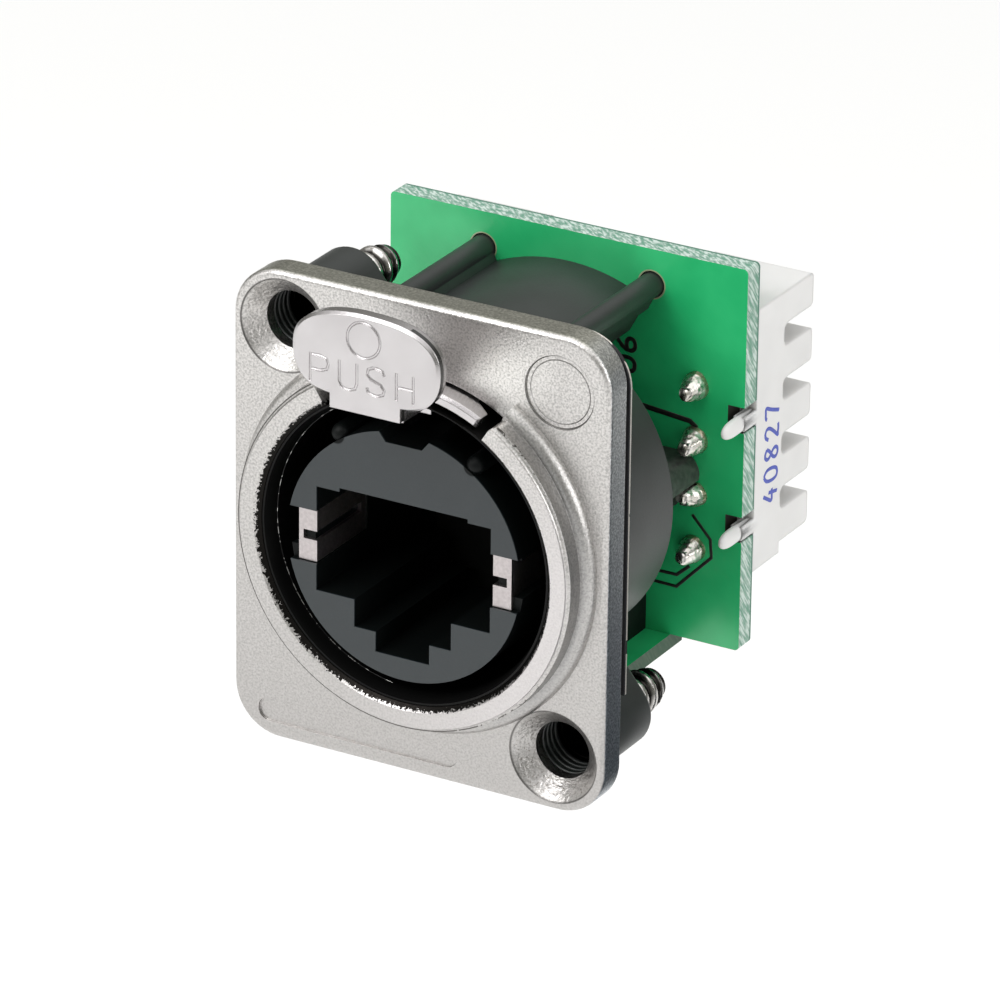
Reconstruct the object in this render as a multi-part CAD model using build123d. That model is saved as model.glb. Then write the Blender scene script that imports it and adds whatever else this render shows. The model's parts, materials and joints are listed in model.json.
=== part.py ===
from build123d import *
import math
import os

os.makedirs("parts", exist_ok=True)

# Panel-mount 8-way modular socket with a die-cast flange and a punch-down board.
# Millimetres. The origin is on the socket axis in the flange's rear face, which lies on the panel.
# X is right as seen from the front, Y goes back into the panel, Z is up.
# The values below count Y from the flange's front face, and the last lines move each piece to the origin.

# Clearances: seated faces, bar in the notch, bar in its bay, hook in its way, free length
# behind the pressed latch, coil in its bore, pins in board holes, springs in their recesses
SEAT_GAP = 0.02
BAR_GAP = 0.15
BAY_GAP = 0.2
HOOK_GAP = 0.15
STOP_GAP = 0.3
COIL_GAP = 0.1
PIN_GAP = 0.1
SPRING_GAP = 0.05

# Flange plate and collar ring
FLANGE_WIDTH = 26.0
FLANGE_HEIGHT = 31.0
FLANGE_THICK = 1.95
FLANGE_CORNER = 3.2
FLANGE_RIM = 0.35
RING_OUTER = 11.55
RING_BORE = 9.95
RING_PROUD = 2.1
RING_CHAMFER = 0.35
RING_ROUND = 0.25
RING_BASE_ROUND = 0.75
RING_END_ROUND = 0.5
GAP_HALF_ANGLE = 32.3
NOTCH_RADIUS = 11.05
HUB_RADIUS = 12.3
HUB_BACK = FLANGE_THICK + 0.4
RECESS_DEPTH = 0.15
BADGE_X = 9.55
BADGE_Z = 11.85
BADGE_RADIUS = 2.35
OBLONG_X = -4.2
OBLONG_Z = -13.7
OBLONG_LENGTH = 14.1
OBLONG_WIDTH = 1.6

# Fixing holes, upper left and lower right
HOLE_X = 9.5
HOLE_Z = 12.0
HOLE_RADIUS = 1.85
SINK_RADIUS = 3.0
SINK_DEPTH = 1.2
FIXINGS = ((-HOLE_X, HOLE_Z), (HOLE_X, -HOLE_Z))

# Thin earthing sheet behind the flange
SHEET_THICK = 0.3
SHEET_DROP = 0.4
SHEET_CUT_WIDTH = 10.6
SHEET_CUT_HEIGHT = 10.0
SHEET_RING = 12.1
SHEET_FRONT = HUB_BACK
SHEET_BACK = SHEET_FRONT + SHEET_THICK

# Black rear housing
BARREL_OUTER = 10.9
BARREL_BORE = 9.5
BARREL_BACK = 12.0
BARREL_LIP = 1.2
LIP_FRONT = BARREL_BACK - BARREL_LIP
SLEEVE_OUTER = RING_BORE - SEAT_GAP
SLEEVE_FRONT = -1.7
MOUTH_RADIUS = 9.8
MOUTH_BACK = -0.6
ARCH_OUTER = 12.05
ARCH_HALF_ANGLE = 28.0
ROD_X = 5.92
ROD_Z = 11.72
ROD_RADIUS = 0.78
ROD_WEB = 1.1
LUG_X = 8.15
LUG_Z = -0.15
LUG_RADIUS = 1.38
LUG_INNER = 6.6
LUG_LOW = -2.3
LUG_PIN = 0.6
BOSS_RADIUS = 2.35
BOSS_BACK = 8.3
BOSS_ROUND = 0.4

# Steel bush in each boss
BUSH_HEAD = 1.95
BUSH_HEAD_BORE = 1.6
BUSH_FRONT = 4.0
BUSH_STEP = 6.4
BUSH_TAIL = 1.43
BUSH_TAIL_BORE = 1.0
BUSH_BACK = 12.2
BUSH_TIP = 1.05
BUSH_TAPER = 1.2

# Boards
BOARD_WIDTH = 25.1
BOARD_TOP = 14.05
BOARD_BOTTOM = -11.35
BOARD_FRONT = 17.9
BOARD_THICK = 1.55
BOARD_BACK = BOARD_FRONT + BOARD_THICK
BOARD_CORNER = 0.3
SMALL_BOARD_WIDTH = 15.5
SMALL_BOARD_THICK = 1.0
SMALL_BOARD_FRONT = 8.8

# Jack insert
FACE_FRONT = -1.8
FACE_RADIUS = 8.08
FACE_Z = -0.37
OPENING_WIDTH = 12.1
OPENING_TOP = 2.95
OPENING_STEP_TOP = 3.2
OPENING_STEP_WIDTH = 8.9
OPENING_BOTTOM = -3.9
KEY_1_WIDTH = 6.75
KEY_1_BOTTOM = -5.7
KEY_2_WIDTH = 3.75
KEY_2_BOTTOM = -7.0
CAVITY_BACK = 10.5
BODY_WIDTH = 12.0
BODY_TOP = 2.6
LATCH_WAY_HALF = 1.25
LATCH_WAY_FLOOR = 6.93
LATCH_WAY_TOP = 9.0
LATCH_WAY_TOP_HALF = 2.9
KNOB_X = 4.67
KNOB_Z = 6.6
KNOB_RADIUS = 0.6

# Shield springs beside the opening
SHIELD_INNER = 6.12
SHIELD_OUTER = 7.38
SHIELD_TOP = 1.25
SHIELD_BOTTOM = -2.15
SHIELD_THICK = 0.25
SHIELD_FRONT = -1.6
SHIELD_ARM_BACK = 4.2
SHIELD_OUTER_BACK = 2.8
SHIELD_ARM_LOW = -1.35
SHIELD_ARM_HIGH = 1.15
SHIELD_SLOT = 0.6
SHIELD_SLOT_REACH = 0.95
SHIELD_SLOT_BACK = 3.6

# Jack contacts
CONTACT_PITCH = 1.02
CONTACT_WIDE = 0.45
CONTACT_THICK = 0.3
CONTACT_BEND = 4.2
CONTACT_END = 9.2
CONTACT_END_Z = 0.45
CONTACT_RUNS = (1.9, 2.3)
CONTACT_RISERS = (15.4, 13.4)
CONTACT_TAIL = 0.5
CARRIER_FRONT = 10.5
CARRIER_BACK = 17.4
CARRIER_WIDTH = 9.6

# Push latch
PUSH_FRONT = -6.4
PUSH_THICK = 0.85
PUSH_HALF = 5.05
PUSH_TOP = 16.95
PUSH_LOW = 11.35
PUSH_CHAMFER = 0.18
PUSH_SHOULDER = (
    (0.44, 0.94), (0.77, 0.73), (0.95, 0.41), (1, -0.03), (0.95, -0.48), (0.8, -0.81), (0.47, -0.98),
)
CHIN_HALF = 2.4
CHIN_LOW = 10.65
NECK_HALF = 2.15
NECK_LOW = 10.3
GUSSET_TOP = 11.6
GUSSET_BACK = -4.2
BAR_INNER = SLEEVE_OUTER + BAR_GAP
BAR_OUTER = NOTCH_RADIUS - BAR_GAP
BAR_HALF_ANGLE = 27.4
BAR_SHOULDER = 1.05
BAR_WING_BACK = -0.55
BAY_HALF_ANGLE = 24.0
BAR_FRONT = -1.5
BAR_BACK = 3.2
BAR_CHAMFER = 0.2
ARM_LOW = 8.75
ARM_TOP = 9.45
HOOK_HALF = 1.1
HOOK_LOW = 7.4
HOOK_FRONT = 4.4
HOOK_BACK = 5.8
LATCH_TRAVEL = 2.5
SPRING_Z = (BAR_INNER + BAR_OUTER) / 2
SPRING_RADIUS = 0.6
SPRING_WIRE = 0.2
SPRING_BACK = 9.5
SPRING_TURNS = 6

# Punch-down blocks
IDC_OUTER = BOARD_WIDTH / 2
IDC_INNER = 5.8
IDC_BASE_BACK = 22.9
IDC_TOOTH_BACK = 26.6
IDC_TOP = 10.95
IDC_PITCH = 3.65
IDC_TOOTH = 2.2
IDC_TEETH = 5
IDC_BOTTOM = -6.6
IDC_TOOTH_ROUND = 0.35
IDC_ROOT_ROUND = 0.45
BLADE_X = (IDC_INNER + IDC_OUTER) / 2
BLADE_THICK = 0.5
BLADE_HALF = 1.25
BLADE_BACK = 25.4
BLADE_FOOT_BACK = BOARD_BACK + 0.8
BLADE_STEM_BACK = BOARD_BACK + 1.3
FORK_FLOOR = BOARD_BACK + 2.2
BLADE_FORK = 0.36
PEG_DEPTH = 1.0
PEG_HALF = 0.45
PEG_PROUD = 2.1
PEG_BARB = 0.5
PEG_DROP = 0.52
PEG_GAP = 0.15
SOLDER_RADIUS = 0.85
SOLDER_TIP = 0.3
SOLDER_HEIGHT = 1.1
SOLDER_RELIEF = 1.05
TAIL_HALF = 0.25
TAIL_PROUD = 1.35
TAIL_DROP = 2.24

SLOT_Z = [IDC_TOP - IDC_TOOTH - (IDC_PITCH - IDC_TOOTH) / 2 - IDC_PITCH * i for i in range(IDC_TEETH - 1)]
TAIL_Z = [z - TAIL_DROP for z in SLOT_Z]
PEG_Z = (SLOT_Z[1] - PEG_DROP, SLOT_Z[3] - PEG_DROP)


# A box given by its six sides
def block(x0, x1, y0, y1, z0, z1):
    centre = ((x0 + x1) / 2, (y0 + y1) / 2, (z0 + z1) / 2)
    return Pos(*centre) * Box(x1 - x0, y1 - y0, z1 - z0)


# A round bar along Y
def rod(radius, y0, y1, x=0.0, z=0.0):
    return Pos(x, (y0 + y1) / 2, z) * Rot(90, 0, 0) * Cylinder(radius, y1 - y0)


# A straight taper along Y, from radius r0 at y0 to r1 at y1
def taper(r0, r1, y0, y1, x=0.0, z=0.0):
    return Pos(x, (y0 + y1) / 2, z) * Rot(-90, 0, 0) * Cone(r0, r1, y1 - y0)


# A flat outline in X and Z, pushed back from y0 to y1
def slab(outline, y0, y1):
    face_plane = Plane(origin=(0, y0, 0), x_dir=(1, 0, 0), z_dir=(0, -1, 0))
    return extrude(face_plane * outline, amount=-(y1 - y0))


# An outline in Y and Z, pushed sideways from x0 to x1
def side_slab(points, x0, x1):
    side_plane = Plane(origin=(x0, 0, 0), x_dir=(0, 1, 0), z_dir=(1, 0, 0))
    return extrude(side_plane * make_face(Polyline(*points, close=True)), amount=x1 - x0)


# A wedge of the disc about the socket axis, centred on straight up
def top_wedge(half_angle, reach, y0, y1):
    side = reach * math.tan(math.radians(half_angle))
    return slab(make_face(Polyline((0, 0), (side, reach), (-side, reach), close=True)), y0, y1)


# The outline of a boss joined to the barrel by a web of its own width
def boss_outline(x, z):
    length = math.hypot(x, z)
    inner = (x * 8 / length, z * 8 / length)
    angle = math.degrees(math.atan2(z, x))
    middle = ((x + inner[0]) / 2, (z + inner[1]) / 2)
    web = Pos(*middle) * Rot(0, 0, angle) * Rectangle(length - 8, 2 * BOSS_RADIUS)
    return web + Pos(x, z) * Circle(BOSS_RADIUS)


# Die-cast flange with its collar ring
def flange_shell():
    plate = slab(RectangleRounded(FLANGE_WIDTH, FLANGE_HEIGHT, FLANGE_CORNER), 0, FLANGE_THICK)
    rim = plate.faces().sort_by(Axis.Y)[0].edges()
    plate = fillet(rim, FLANGE_RIM)
    front = -RING_PROUD
    foot = RING_OUTER + 0.05
    with BuildSketch(Plane.XY) as section:
        with BuildLine():
            Line((RING_BORE, HUB_BACK), (RING_BORE, front + RING_CHAMFER))
            Line((RING_BORE, front + RING_CHAMFER), (RING_BORE + RING_CHAMFER, front))
            Line((RING_BORE + RING_CHAMFER, front), (RING_OUTER - RING_ROUND, front))
            RadiusArc((RING_OUTER - RING_ROUND, front), (RING_OUTER, front + RING_ROUND), RING_ROUND)
            Line((RING_OUTER, front + RING_ROUND), (foot, -RING_BASE_ROUND))
            RadiusArc((foot, -RING_BASE_ROUND), (foot + RING_BASE_ROUND, 0), -RING_BASE_ROUND)
            Line((foot + RING_BASE_ROUND, 0), (HUB_RADIUS, HUB_BACK))
            Line((HUB_RADIUS, HUB_BACK), (RING_BORE, HUB_BACK))
        make_face()
    ring = revolve(section.sketch, Axis.Y)
    shell = plate + ring - rod(RING_BORE, -RING_PROUD - 1, SHEET_BACK)
    shell -= top_wedge(GAP_HALF_ANGLE, 14, -RING_PROUD - 1, 0)
    corner = RING_OUTER * math.sin(math.radians(GAP_HALF_ANGLE))
    ends = [edge for edge in shell.edges() if edge.center().Y < -RING_BASE_ROUND and edge.center().Z > 0
            and abs(abs(edge.center().X) - corner) < 0.1 and edge.length > 0.5]
    shell = fillet(ends, RING_END_ROUND)
    notch = top_wedge(GAP_HALF_ANGLE, 14, -1, SHEET_BACK) & rod(NOTCH_RADIUS, -1, SHEET_BACK)
    shell -= notch
    for x, z in FIXINGS:
        shell -= rod(HOLE_RADIUS, -1, FLANGE_THICK + 1, x, z)
        shell -= taper(SINK_RADIUS + 0.1, HOLE_RADIUS, -0.1, SINK_DEPTH, x, z)
    shell -= rod(BADGE_RADIUS, -1, RECESS_DEPTH, BADGE_X, BADGE_Z)
    oblong = Pos(OBLONG_X, OBLONG_Z) * SlotOverall(OBLONG_LENGTH, OBLONG_WIDTH)
    return shell - slab(oblong, -1, RECESS_DEPTH)


# Thin sheet between the flange and the housing, cut away at both bosses
def earth_sheet():
    height = FLANGE_HEIGHT - SHEET_DROP
    outline = Pos(0, -SHEET_DROP / 2) * RectangleRounded(FLANGE_WIDTH, height, FLANGE_CORNER)
    outline -= Circle(SLEEVE_OUTER + PIN_GAP)
    for x, z in FIXINGS:
        side = math.copysign(1, x)
        outline -= Pos(x + side, z - side) * Rectangle(SHEET_CUT_WIDTH, SHEET_CUT_HEIGHT) - Circle(SHEET_RING)
    sheet = slab(outline, SHEET_FRONT, SHEET_BACK)
    return sheet - (top_wedge(GAP_HALF_ANGLE, 14, 0, BARREL_BACK) & rod(NOTCH_RADIUS, 0, BARREL_BACK))


# The web that joins a rod to the end of the arch
def rod_web_outline(side):
    length = math.hypot(ROD_X, ROD_Z)
    low = ARCH_OUTER - 0.5
    middle = (low + length) / 2 / length
    angle = math.degrees(math.atan2(ROD_Z, side * ROD_X))
    return Pos(side * ROD_X * middle, ROD_Z * middle) * Rot(0, 0, angle) * Rectangle(length - low, ROD_WEB)


# A lug between the barrel and the board, with room for the solder joint below it
def lug_outline(side):
    top = LUG_Z + LUG_RADIUS
    web = Pos(side * (LUG_INNER + LUG_X) / 2, (LUG_LOW + top) / 2) * Rectangle(LUG_X - LUG_INNER, top - LUG_LOW)
    outline = web + Pos(side * LUG_X, LUG_Z) * Circle(LUG_RADIUS)
    return outline - Pos(side * BLADE_X, TAIL_Z[2]) * Circle(SOLDER_RELIEF)


# Black plastic barrel with its arch, rods, lugs and bosses
def rear_housing():
    body = rod(BARREL_OUTER, SHEET_BACK, BARREL_BACK) + rod(SLEEVE_OUTER, SLEEVE_FRONT, SHEET_BACK)
    arch = rod(ARCH_OUTER, SHEET_BACK, BOARD_FRONT) - rod(BARREL_BORE, SHEET_BACK - 1, BOARD_FRONT + 1)
    body += arch & top_wedge(ARCH_HALF_ANGLE, 14, SHEET_BACK, BOARD_FRONT)
    for side in (-1, 1):
        body += rod(ROD_RADIUS, SHEET_BACK, BOARD_BACK, side * ROD_X, ROD_Z)
        body += slab(rod_web_outline(side), SHEET_BACK, BOARD_FRONT)
        body += slab(lug_outline(side), BARREL_BACK - 1, BOARD_FRONT)
        body += rod(LUG_PIN, BOARD_FRONT, BOARD_BACK, side * LUG_X, LUG_Z)
    body -= rod(BARREL_BORE, SLEEVE_FRONT - 1, LIP_FRONT)
    body -= taper(MOUTH_RADIUS, BARREL_BORE, SLEEVE_FRONT, MOUTH_BACK)
    way = BODY_WIDTH / 2 + PIN_GAP
    body -= block(-way, way, LIP_FRONT - 1, BOARD_FRONT + 1, BOARD_BOTTOM - 1, OPENING_STEP_TOP + PIN_GAP)
    for x, z in FIXINGS:
        boss = slab(boss_outline(x, z), FLANGE_THICK, BOSS_BACK)
        boss = fillet(boss.faces().sort_by(Axis.Y)[-1].edges(), BOSS_ROUND)
        boss -= rod(BARREL_OUTER - 0.4, FLANGE_THICK - 1, BOSS_BACK + 1)
        boss -= rod(HUB_RADIUS + PIN_GAP, FLANGE_THICK - 1, SHEET_BACK)
        body += boss
        body -= rod(BUSH_HEAD + SEAT_GAP, FLANGE_THICK - 1, BUSH_STEP, x, z)
        body -= rod(BUSH_TAIL + SEAT_GAP, BUSH_STEP - 1, BOSS_BACK + 1, x, z)
    bay_back = BAR_BACK + LATCH_TRAVEL + STOP_GAP
    bay = rod(BAR_OUTER + BAY_GAP, SLEEVE_FRONT - 1, bay_back)
    bay -= rod(BAR_INNER - BAY_GAP, SLEEVE_FRONT - 1, bay_back)
    body -= bay & top_wedge(BAY_HALF_ANGLE, 14, SLEEVE_FRONT - 1, bay_back)
    hook_way = HOOK_HALF + HOOK_GAP
    body -= block(-hook_way, hook_way, SLEEVE_FRONT - 1, HOOK_BACK + LATCH_TRAVEL + STOP_GAP, 8, SPRING_Z)
    body -= rod(SPRING_RADIUS + SPRING_WIRE / 2 + COIL_GAP, BAR_BACK, SPRING_BACK, 0, SPRING_Z)
    return body


# Stepped steel bush in a boss, with a tapered tail
def thread_bush(x, z):
    bush = rod(BUSH_HEAD, BUSH_FRONT, BUSH_STEP, x, z)
    bush += rod(BUSH_TAIL, BUSH_STEP, BUSH_BACK - BUSH_TAPER, x, z)
    bush += taper(BUSH_TAIL, BUSH_TIP, BUSH_BACK - BUSH_TAPER, BUSH_BACK, x, z)
    bush -= rod(BUSH_HEAD_BORE, BUSH_FRONT - 1, BUSH_STEP - 0.4, x, z)
    bush -= rod(BUSH_TAIL_BORE, BUSH_STEP - 1, BUSH_BACK + 1, x, z)
    return bush


# The way in for the plug, with the two keyed steps of its latch below
def opening_outline():
    main_height = OPENING_TOP - OPENING_BOTTOM
    outline = Pos(0, (OPENING_TOP + OPENING_BOTTOM) / 2) * Rectangle(OPENING_WIDTH, main_height)
    for wide, low, high in (
        (OPENING_STEP_WIDTH, 0, OPENING_STEP_TOP),
        (KEY_1_WIDTH, KEY_1_BOTTOM, 0),
        (KEY_2_WIDTH, KEY_2_BOTTOM, 0),
    ):
        outline += Pos(0, (low + high) / 2) * Rectangle(wide, high - low)
    return outline


# Round-faced jack insert with a square body behind
def jack_insert():
    insert = rod(FACE_RADIUS, FACE_FRONT, LIP_FRONT, 0, FACE_Z)
    half = BODY_WIDTH / 2
    insert += block(-half, half, LIP_FRONT, BOARD_FRONT, BOARD_BOTTOM, BODY_TOP)
    for side in (-1, 1):
        insert += rod(KNOB_RADIUS, FACE_FRONT + KNOB_RADIUS, LIP_FRONT, side * KNOB_X, KNOB_Z)
        insert += Pos(side * KNOB_X, FACE_FRONT + KNOB_RADIUS, KNOB_Z) * Sphere(KNOB_RADIUS)
    insert -= slab(opening_outline(), FACE_FRONT - 1, CAVITY_BACK)
    low, high = LATCH_WAY_HALF, LATCH_WAY_TOP_HALF
    corners = ((-low, LATCH_WAY_FLOOR), (low, LATCH_WAY_FLOOR), (high, LATCH_WAY_TOP), (-high, LATCH_WAY_TOP))
    groove = make_face(Polyline(*corners, close=True))
    insert -= slab(groove, FACE_FRONT - 1, HOOK_BACK + LATCH_TRAVEL + STOP_GAP)
    for side in (-1, 1):
        far = FACE_RADIUS + 1
        low, high = SHIELD_BOTTOM - SPRING_GAP, SHIELD_TOP + SPRING_GAP
        face = sorted((side * SHIELD_INNER, side * far))
        outer = sorted((side * (SHIELD_OUTER - SHIELD_THICK), side * far))
        inner = sorted((side * (OPENING_WIDTH / 2 - 0.1), side * (SHIELD_INNER + SHIELD_THICK)))
        insert -= block(*face, FACE_FRONT - 1, SHIELD_FRONT + SHIELD_THICK, low, high)
        insert -= block(*outer, FACE_FRONT - 1, SHIELD_ARM_BACK, SHIELD_ARM_LOW, SHIELD_ARM_HIGH)
        insert -= block(*inner, FACE_FRONT - 1, SHIELD_ARM_BACK, low, high)
    carrier = CARRIER_WIDTH / 2 + SEAT_GAP
    insert -= block(-carrier, carrier, CARRIER_FRONT - 1, BOARD_FRONT + 1, BOARD_BOTTOM - 1, OPENING_STEP_TOP)
    return insert


# Folded shield spring on one side: front tab, inner arm with a slot, outer arm
def shield_spring(side):
    ends = (SHIELD_BOTTOM, SHIELD_TOP)
    thick = SHIELD_THICK
    spring = block(SHIELD_INNER, SHIELD_OUTER, SHIELD_FRONT, SHIELD_FRONT + thick, *ends)
    spring += block(SHIELD_INNER, SHIELD_INNER + thick, SHIELD_FRONT, SHIELD_ARM_BACK, *ends)
    outer_ends = (SHIELD_ARM_LOW, SHIELD_ARM_HIGH)
    spring += block(SHIELD_OUTER - thick, SHIELD_OUTER, SHIELD_FRONT, SHIELD_OUTER_BACK, *outer_ends)
    middle = (SHIELD_TOP + SHIELD_BOTTOM) / 2
    low, high = middle - SHIELD_SLOT / 2, middle + SHIELD_SLOT / 2
    reach = SHIELD_INNER + SHIELD_SLOT_REACH
    spring -= block(SHIELD_INNER - 1, reach, SHIELD_FRONT - 1, SHIELD_SLOT_BACK, low, high)
    return spring if side > 0 else mirror(spring, Plane.YZ)


# One contact: tail through the small board, riser, run forward and sprung return
def jack_contact(index):
    x = (index - 3.5) * CONTACT_PITCH
    riser = CONTACT_RISERS[index % 2]
    run_z = CONTACT_RUNS[index % 2]
    tail_low = BOARD_BOTTOM - SMALL_BOARD_THICK - CONTACT_TAIL
    thick = CONTACT_THICK
    bend = CONTACT_BEND
    points = (
        (riser, tail_low), (riser, run_z), (bend, run_z), (bend - 2.7 * thick, run_z - 0.8 * thick),
        (bend - 3 * thick, run_z - 2 * thick), (CONTACT_END, CONTACT_END_Z), (CONTACT_END, CONTACT_END_Z + thick),
        (bend - thick, run_z - 1.7 * thick), (bend, run_z - thick), (riser - thick, run_z - thick),
        (riser - thick, tail_low),
    )
    return side_slab(points, x - CONTACT_WIDE / 2, x + CONTACT_WIDE / 2)


# Plastic carrier that holds the eight contacts at the back of the socket
def contact_carrier(contacts):
    half = CARRIER_WIDTH / 2
    carrier = block(-half, half, CARRIER_FRONT, CARRIER_BACK, BOARD_BOTTOM, OPENING_STEP_TOP - SEAT_GAP)
    for contact in contacts:
        carrier -= contact
    return carrier


# Main board, with its holes and edge notches
def main_board():
    middle = (BOARD_TOP + BOARD_BOTTOM) / 2
    outline = Pos(0, middle) * RectangleRounded(BOARD_WIDTH, BOARD_TOP - BOARD_BOTTOM, BOARD_CORNER)
    notch = PEG_DEPTH + PEG_GAP
    notch_height = 2 * PEG_HALF + PEG_BARB + 2 * PEG_GAP
    for side in (-1, 1):
        outline -= Pos(side * ROD_X, ROD_Z) * Circle(ROD_RADIUS + PIN_GAP)
        outline -= Pos(side * LUG_X, LUG_Z) * Circle(LUG_PIN + PIN_GAP)
        for z in TAIL_Z:
            outline -= Pos(side * BLADE_X, z) * Circle(TAIL_HALF * 1.6)
        for z in PEG_Z:
            outline -= Pos(side * (BOARD_WIDTH - notch) / 2, z + PEG_BARB / 2) * Rectangle(notch, notch_height)
    return slab(outline, BOARD_FRONT, BOARD_BACK)


# Small level board under the socket body
def jack_board(contacts):
    half = SMALL_BOARD_WIDTH / 2
    board = block(-half, half, SMALL_BOARD_FRONT, BOARD_BACK, BOARD_BOTTOM - SMALL_BOARD_THICK, BOARD_BOTTOM)
    for contact in contacts:
        board -= contact
    return board


# Side outline of a punch-down block
def tooth_profile():
    points = [(BOARD_BACK, IDC_BOTTOM), (BOARD_BACK, IDC_TOP)]
    for i in range(IDC_TEETH):
        top = IDC_TOP - IDC_PITCH * i
        low = top - IDC_TOOTH
        if i > 0:
            points.append((IDC_BASE_BACK, top))
        points += [(IDC_TOOTH_BACK, top), (IDC_TOOTH_BACK, low), (IDC_BASE_BACK, low)]
    return points + [(IDC_BASE_BACK, IDC_BOTTOM)]


# Side outline of a snap peg: a round-nosed shank with a barb on its upper side against the board
def peg_profile(z):
    low, high = z - PEG_HALF, z + PEG_HALF
    tip = BOARD_FRONT - PEG_PROUD
    half = PEG_HALF
    barb = high + PEG_BARB
    return (
        (BOARD_BACK, low), (tip + 2 * half, low), (tip + 0.5 * half, low + 0.3 * half), (tip, low + half),
        (tip + 0.3 * half, high), (tip + 1.3 * half, barb - 0.35 * half), (tip + 2.2 * half, barb),
        (BOARD_FRONT - PEG_GAP, barb), (BOARD_FRONT - PEG_GAP, high), (BOARD_BACK, high),
    )


# White punch-down block: base, five teeth, blade slots and two snap pegs
def idc_block(side):
    base = side_slab(tooth_profile(), IDC_INNER, IDC_OUTER)
    along = base.edges().filter_by(Axis.X)
    tips = [edge for edge in along if edge.center().Y > IDC_TOOTH_BACK - 0.01]
    base = fillet(tips, IDC_TOOTH_ROUND)
    last_root = IDC_TOP - IDC_PITCH * (IDC_TEETH - 1) - IDC_TOOTH / 2
    along = base.edges().filter_by(Axis.X)
    roots = [edge for edge in along if abs(edge.center().Y - IDC_BASE_BACK) < 0.01 and edge.center().Z > last_root]
    base = fillet(roots, IDC_ROOT_ROUND)
    way = BLADE_THICK / 2 + SEAT_GAP
    reach = BLADE_HALF + SEAT_GAP
    for z in SLOT_Z:
        sides = (BLADE_X - way, BLADE_X + way)
        base -= block(*sides, BLADE_STEM_BACK - SEAT_GAP, IDC_TOOTH_BACK + 1, z - reach, z + reach)
        base -= block(*sides, BOARD_BACK - 1, BLADE_STEM_BACK, z - reach, z + SEAT_GAP)
        foot = z - TAIL_DROP - TAIL_HALF - SEAT_GAP
        base -= block(*sides, BOARD_BACK - 1, BLADE_FOOT_BACK + SEAT_GAP, foot, z)
    for z in PEG_Z:
        base += side_slab(peg_profile(z), IDC_OUTER - PEG_DEPTH, IDC_OUTER)
    return base if side > 0 else mirror(base, Plane.YZ)


# Forked blade in one slot, with a tail set below it
def idc_contact(side, z):
    x0, x1 = BLADE_X - BLADE_THICK / 2, BLADE_X + BLADE_THICK / 2
    blade = block(x0, x1, BLADE_STEM_BACK, BLADE_BACK, z - BLADE_HALF, z + BLADE_HALF)
    blade -= block(x0 - 1, x1 + 1, FORK_FLOOR, BLADE_BACK + 1, z - BLADE_FORK / 2, z + BLADE_FORK / 2)
    blade += block(x0, x1, BOARD_BACK, BLADE_STEM_BACK, z - BLADE_HALF, z)
    tail = z - TAIL_DROP
    blade += block(x0, x1, BOARD_BACK, BLADE_FOOT_BACK, tail - TAIL_HALF, z)
    blade += block(x0, x1, BOARD_FRONT - TAIL_PROUD, BOARD_BACK, tail - TAIL_HALF, tail + TAIL_HALF)
    return blade if side > 0 else mirror(blade, Plane.YZ)


# Solder cones round the tails on the front of the main board
def solder_joints(contacts):
    joints = []
    front = BOARD_FRONT - SOLDER_HEIGHT
    for side in (-1, 1):
        for z in TAIL_Z:
            joints.append(taper(SOLDER_TIP, SOLDER_RADIUS, front, BOARD_FRONT, side * BLADE_X, z))
    return Compound([joint - contact for joint, contact in zip(joints, contacts)])


# What is cut from one end of the bar behind its wing
def bar_shoulder(side):
    angle = math.radians(BAR_HALF_ANGLE)
    out = (side * math.sin(angle), 0, math.cos(angle))
    along = (side * math.cos(angle), 0, -math.sin(angle))
    corners = (
        (1, BAR_WING_BACK), (0, BAR_WING_BACK), (-BAR_SHOULDER, 0), (-BAR_SHOULDER, BAR_BACK + 1), (1, BAR_BACK + 1),
    )
    start = tuple(BAR_INNER * 0.9 * v for v in out)
    end_plane = Plane(origin=start, x_dir=along, z_dir=tuple(side * v for v in out))
    return extrude(end_plane * make_face(Polyline(*corners, close=True)), amount=side * BAR_INNER * 0.25)


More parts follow.
